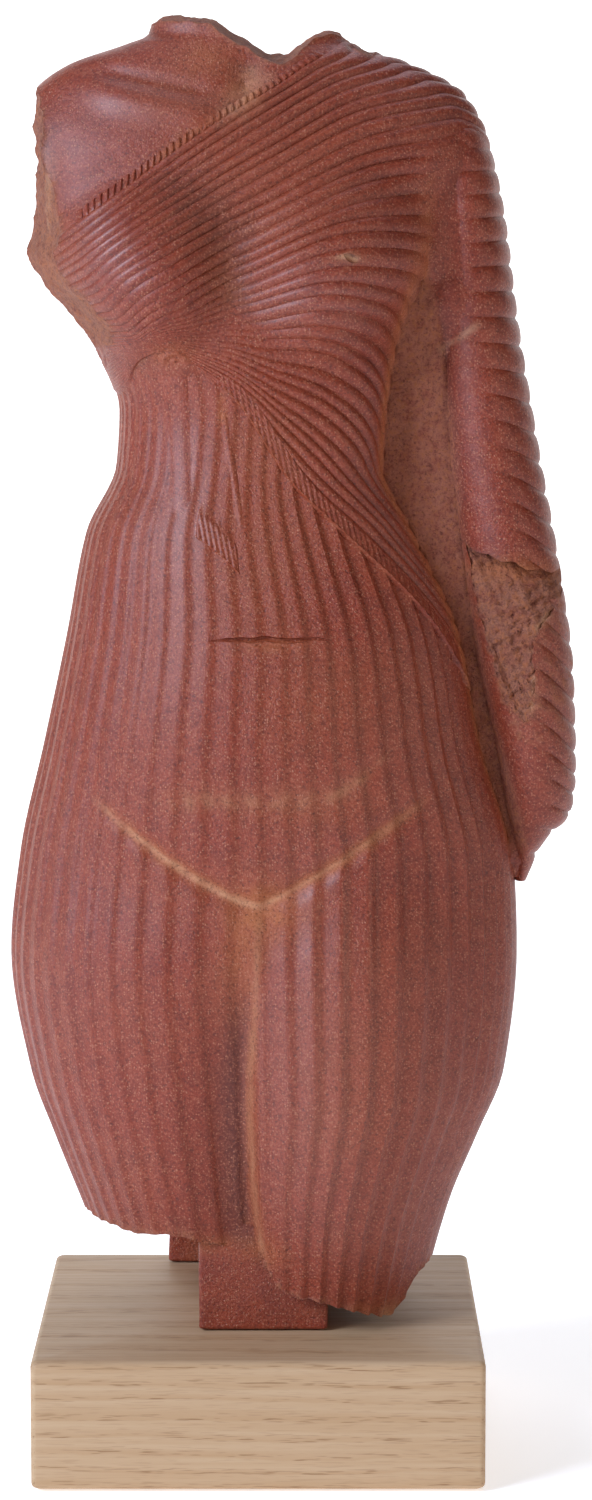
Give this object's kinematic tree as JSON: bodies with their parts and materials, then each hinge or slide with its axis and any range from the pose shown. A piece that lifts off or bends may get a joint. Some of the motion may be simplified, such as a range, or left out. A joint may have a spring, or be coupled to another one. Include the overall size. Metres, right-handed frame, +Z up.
{
  "type": "draped torso statuette on a wooden block",
  "caption": "Red-brown stone-like torso statuette in a finely pleated dress and shawl, broken at neck, arms and legs, standing on a square oak block.",
  "frame": {"origin": "middle of the oak block's underside", "axes": "+Z up, +X to the viewer's right when looking at the front, +Y from the front to the back"},
  "size_m": [0.1289, 0.1, 0.3239],
  "materials": {
    "cast_stone": "satin, speckled, with tan patina in the hollows and breaks",
    "oak": "planed and oiled, matte"
  },
  "bodies": {
    "root": {"torso": "cast_stone", "plinth": "oak"}
  },
  "joints": []
}
